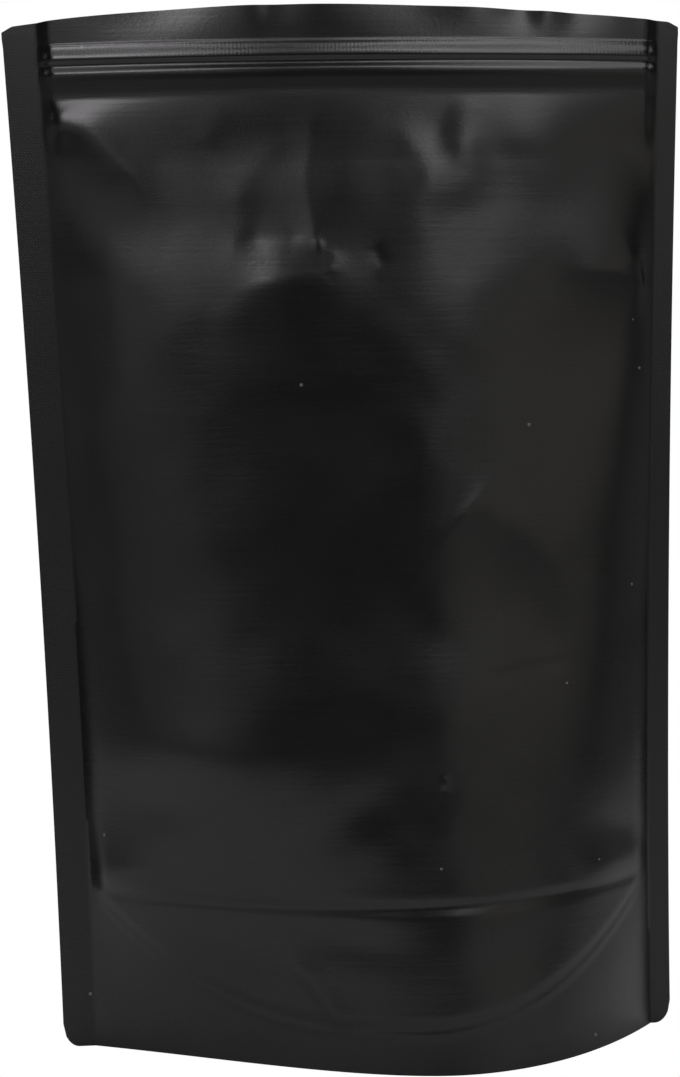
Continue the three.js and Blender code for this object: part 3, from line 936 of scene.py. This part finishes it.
def knurl_group():
    """Crossed ridges pressed into a weld: two diagonal sine waves in X and Z, the larger of the two."""
    group, given, out = new_group("weld knurl", {"Pitch": 1.0, "Mask": 1.0}, ["Height"])
    axes = object_axes(group)
    slants = [maths(group, operation, axes["X"], axes["Z"]) for operation in ("ADD", "SUBTRACT")]
    waves = [wave(group, slant, given.outputs["Pitch"]) for slant in slants]
    crossed = maths(group, "MAXIMUM", *waves)
    group.links.new(maths(group, "MULTIPLY", crossed, given.outputs["Mask"]), out.inputs["Height"])
    return group


grain, knurl = grain_group(), knurl_group()
print("node groups:", [group.name for group in bpy.data.node_groups])

# %% Film material
TONE_RAMP = {0.3: 0.85, 0.7: 1.15}
DUST_COLOUR = (0.10, 0.10, 0.10, 1.0)
ROUGHNESS = dict(tone=0.10, lines=0.045, seal=0.06, rails=-0.04)
KNURL_PITCH = 0.9
TOOTH = dict(pitch=1.1, height=0.15)
BUMP = dict(strength=0.25, distance=0.0001)


def group_node(tree, group, **values):
    """A node that uses a group, with some of its inputs set."""
    node = tree.nodes.new("ShaderNodeGroup")
    node.node_tree = group
    for title, value in values.items():
        feed(tree, node.inputs[title], value)
    return node


def mask(tree, name):
    """The value of a mask stored on the mesh, or 0 on a mesh without that mask."""
    node = tree.nodes.new("ShaderNodeAttribute")
    node.attribute_name = name
    return node.outputs["Fac"]


def film_colour(tree, tint, grained):
    """The tint times 0.85 to 1.15 by the broad noise, with pale specks where there is dust."""
    tone, dusty = tree.nodes.new("ShaderNodeValToRGB"), tree.nodes.new("ShaderNodeMix")
    for element, (position, share) in zip(tone.color_ramp.elements, TONE_RAMP.items()):
        element.position = position
        element.color = (*[channel * share for channel in tint], 1.0)
    dusty.data_type = "RGBA"
    dusty.inputs["B"].default_value = DUST_COLOUR
    tree.links.new(grained.outputs["Tone"], tone.inputs["Fac"])
    tree.links.new(grained.outputs["Dust"], dusty.inputs["Factor"])
    tree.links.new(tone.outputs["Color"], dusty.inputs["A"])
    return dusty.outputs["Result"]


def film_material(name, tint, rough, grain_strength):
    """A dark plastic whose colour, roughness and bump vary with grain, welds and zipper teeth.

    Roughness is the given one on average: each noise has its weight and averages a half, the welds
    are rougher and the film stretched over the rails is smoother. The bump adds grain, knurl and teeth."""
    material = bpy.data.materials.new(name)
    material.use_nodes = True
    tree = material.node_tree
    plastic, bump = tree.nodes["Principled BSDF"], tree.nodes.new("ShaderNodeBump")
    seal = mask(tree, "seal")
    grained = group_node(tree, grain, Strength=grain_strength)
    welded = group_node(tree, knurl, Pitch=KNURL_PITCH, Mask=seal)
    tree.links.new(film_colour(tree, tint, grained), plastic.inputs["Base Color"])

    average = 0.5 * (ROUGHNESS["tone"] + ROUGHNESS["lines"])
    roughness = weighted_sum(tree, rough - average, [
        (grained.outputs["Tone"], ROUGHNESS["tone"]),
        (grained.outputs["Lines"], ROUGHNESS["lines"]),
        (seal, ROUGHNESS["seal"]),
        (mask(tree, "rails"), ROUGHNESS["rails"]),
    ])
    tree.links.new(roughness, plastic.inputs["Roughness"])

    tooth = maths(tree, "MULTIPLY", wave(tree, object_axes(tree)["X"], TOOTH["pitch"]), mask(tree, "teeth"))
    both = maths(tree, "ADD", grained.outputs["Height"], welded.outputs["Height"])
    tree.links.new(weighted_sum(tree, both, [(tooth, TOOTH["height"])]), bump.inputs["Height"])
    bump.inputs["Strength"].default_value = BUMP["strength"]
    bump.inputs["Distance"].default_value = BUMP["distance"]
    tree.links.new(bump.outputs["Normal"], plastic.inputs["Normal"])
    return material


film = film_material("matte black film", tint=(0.0036, 0.0033, 0.0036), rough=0.28, grain_strength=1.0)
rail = film_material("black zipper strip", tint=(0.012, 0.0118, 0.0122), rough=0.34, grain_strength=0.2)
print("materials:", film.name, "and", rail.name)

# %% Dress the frame
for piece in (front, back, bottom):
    piece.data.materials.append(film)
    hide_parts("pouch")
    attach(piece, "root")
zipper.data.materials.append(rail)
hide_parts("zipper")
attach(zipper, "root")
print("dressed", [piece.name for piece in (front, back, bottom, zipper)])

# %% [markdown]
# ## Floor, light and camera
#
# Black film shows little of its own colour: what is seen is the studio in it. Soft boxes ring the
# pouch, each where some part of the film mirrors it, and the gap in front of it leaves its middle
# dark. The pale floor lights the foot from below, and darkens outwards with painted shade. The camera
# sees the floor and the room as plain white, and their own shades only light the film.

# %% Floor
FLOOR_HALF = 6.0
# Painted shade: the floor's colour falls from 0.66 near the pouch to 0.12 far out, standing in for its light
# falling off.
FLOOR_PAINTED_SHADE = {0.15: 0.66, 0.85: 0.12}
PAPER_ROUGHNESS = 0.9
WHITE = (1.0, 1.0, 1.0, 1.0)


def white_to_camera(tree, lit, shown, output):
    """Mixes two shaders: camera rays meet the shown one, made white, and all other rays the lit one."""
    mix, rays = tree.nodes.new("ShaderNodeMixShader"), tree.nodes.new("ShaderNodeLightPath")
    shown.inputs["Color"].default_value = WHITE
    tree.links.new(rays.outputs["Is Camera Ray"], mix.inputs["Fac"])
    tree.links.new(lit.outputs[0], mix.inputs[1])
    tree.links.new(shown.outputs[0], mix.inputs[2])
    tree.links.new(mix.outputs[0], tree.nodes[output].inputs["Surface"])


def paper_material():
    """Pale paper with painted shade: its colour is a ramp over the distance from the origin, a pool of light
    painted round the pouch that darkens outwards.
    """
    material = bpy.data.materials.new("pale paper")
    material.use_nodes = True
    tree = material.node_tree
    paper = tree.nodes["Principled BSDF"]
    distance, painted_falloff = tree.nodes.new("ShaderNodeVectorMath"), tree.nodes.new("ShaderNodeValToRGB")
    distance.operation = "LENGTH"
    painted_falloff.color_ramp.interpolation = "EASE"
    for element, (position, level) in zip(painted_falloff.color_ramp.elements, FLOOR_PAINTED_SHADE.items()):
        element.position = position
        element.color = (level, level, level, 1.0)
    tree.links.new(tree.nodes.new("ShaderNodeTexCoord").outputs["Object"], distance.inputs[0])
    tree.links.new(distance.outputs["Value"], painted_falloff.inputs["Fac"])
    tree.links.new(painted_falloff.outputs["Color"], paper.inputs["Base Color"])
    paper.inputs["Roughness"].default_value = PAPER_ROUGHNESS
    white_to_camera(tree, paper, tree.nodes.new("ShaderNodeEmission"), "Material Output")
    return material


corners = [(FLOOR_HALF * x, FLOOR_HALF * y, 0.0) for x, y in ((-1, -1), (1, -1), (1, 1), (-1, 1))]
floor_mesh = bpy.data.meshes.new("floor")
floor_mesh.from_pydata(corners, [], [(0, 1, 2, 3)])
floor_mesh.materials.append(paper_material())
floor = add_object("floor", floor_mesh)
print("floor", 2 * FLOOR_HALF, "metres square")

# %% Soft boxes
BOX_DISTANCE = 1.3
AIM = Vector((0.0, 0.0, 0.15))
LILAC = (1.0, 0.97, 1.0)
PALE_LILAC = (1.0, 0.98, 1.0)
ROSE = (1.0, 0.97, 0.98)
PALE_ROSE = (1.0, 0.98, 0.98)
CREAM = (1.0, 0.985, 0.92)
DEEP_CREAM = (1.0, 0.985, 0.90)
# azimuth and elevation in degrees, width and height in metres, power in watts, tint
SOFT_BOXES = {
    "left near": (-18, 52, (0.24, 0.40), 1.2, LILAC),
    "left key": (-27, 39, (0.36, 0.34), 2.7, LILAC),
    "right near": (25, 42, (0.36, 0.60), 2.5, PALE_LILAC),
    "right upper": (14, 57, (0.22, 0.26), 0.7, PALE_LILAC),
    "left high": (-48, 58, (0.45, 0.50), 0.8, LILAC),
    "right high": (56, 58, (0.55, 0.60), 2.1, PALE_LILAC),
    "left middle": (-16, 20, (0.32, 0.40), 0.36, LILAC),
    "right middle": (21, 22, (0.32, 0.36), 0.6, PALE_LILAC),
    "left wide": (-34, 19, (0.54, 0.60), 0.42, LILAC),
    "right wide": (44, 18, (0.62, 0.60), 0.42, CREAM),
    "left low": (-43, 1, (0.86, 0.38), 0.38, ROSE),
    "right low": (39, 1, (0.78, 0.38), 0.36, DEEP_CREAM),
    "left side": (-86, 0, (1.10, 0.44), 0.40, ROSE),
    "right side": (84, 0, (0.90, 0.44), 0.32, PALE_ROSE),
    "back": (180, 70, (1.2, 0.7), 8.0, WHITE[:3]),
    "back left": (152, 34, (0.80, 0.80), 3.2, PALE_LILAC),
    "back right": (-152, 34, (0.60, 0.80), 2.4, LILAC),
    "back low": (180, 8, (1.60, 0.40), 0.8, PALE_ROSE),
    "left flank": (-108, 34, (0.50, 0.60), 1.4, LILAC),
    "right flank": (108, 34, (0.50, 0.60), 1.4, PALE_LILAC),
}


def direction(azimuth, elevation):
    """The unit vector from the pouch to an azimuth, which is 0 in front of it, and an elevation."""
    level = math.cos(elevation)
    return Vector((math.sin(azimuth) * level, -math.cos(azimuth) * level, math.sin(elevation)))


def soft_box(name, azimuth, elevation, size, power, tint):
    """An area light on a sphere round the pouch, aimed at its middle, at two angles in degrees."""
    towards = direction(math.radians(azimuth), math.radians(elevation))
    data = bpy.data.lights.new(name, "AREA")
    data.shape = "RECTANGLE"
    data.size, data.size_y = size
    data.energy = power
    data.color = tint
    light = add_object(name, data)
    light.location = AIM + towards * BOX_DISTANCE
    light.rotation_euler = towards.to_track_quat("Z", "Y").to_euler()
    light.visible_camera = False


for name, settings in SOFT_BOXES.items():
    soft_box(f"{name} box", *settings)
print(len(SOFT_BOXES), "soft boxes")

# %% The room
ROOM_COLOUR = (1.0, 0.97, 0.92, 1.0)
ROOM_STRENGTH = 0.03
world = bpy.data.worlds.new("studio")
world.use_nodes = True
bpy.context.scene.world = world
room = world.node_tree.nodes["Background"]
room.inputs["Color"].default_value = ROOM_COLOUR
room.inputs["Strength"].default_value = ROOM_STRENGTH
white_to_camera(world.node_tree, room, world.node_tree.nodes.new("ShaderNodeBackground"), "World Output")
bpy.context.scene.view_settings.view_transform = "Standard"
print("room light:", ROOM_STRENGTH)

# %% [markdown]
# The camera stands close, a little left of the pouch and above its middle, and is rolled by about
# one degree, as the photograph's own was. Its lens is worked out from the picture's height.

# %% Camera
PICTURE_HEIGHT = 1077
FOCAL_PIXELS = 2092.0
SENSOR = 36.0
CAMERA_DISTANCE = 620.0
CAMERA_ELEVATION = math.radians(4.5)
CAMERA_YAW = math.radians(-3.9)
CAMERA_ROLL = math.radians(1.11)
LOOK_AT = Vector((-3.86, 0.0, 150.4))
backward = direction(CAMERA_YAW, CAMERA_ELEVATION)
right_hand = (-backward).cross(Vector((0.0, 0.0, 1.0))).normalized()
upward = right_hand.cross(-backward)
rolled_right = right_hand * math.cos(CAMERA_ROLL) - upward * math.sin(CAMERA_ROLL)
rolled_up = right_hand * math.sin(CAMERA_ROLL) + upward * math.cos(CAMERA_ROLL)
stand = (LOOK_AT + backward * CAMERA_DISTANCE) * MM
turned = Matrix((rolled_right, rolled_up, backward)).transposed().to_4x4()
camera = add_object("camera", bpy.data.cameras.new("camera"))
camera.data.sensor_width = SENSOR
camera.data.lens = FOCAL_PIXELS / PICTURE_HEIGHT * SENSOR
camera.matrix_world = Matrix.Translation(stand) @ turned
bpy.context.scene.camera = camera
print(f"camera {camera.data.lens:.1f} mm lens at {stand}")
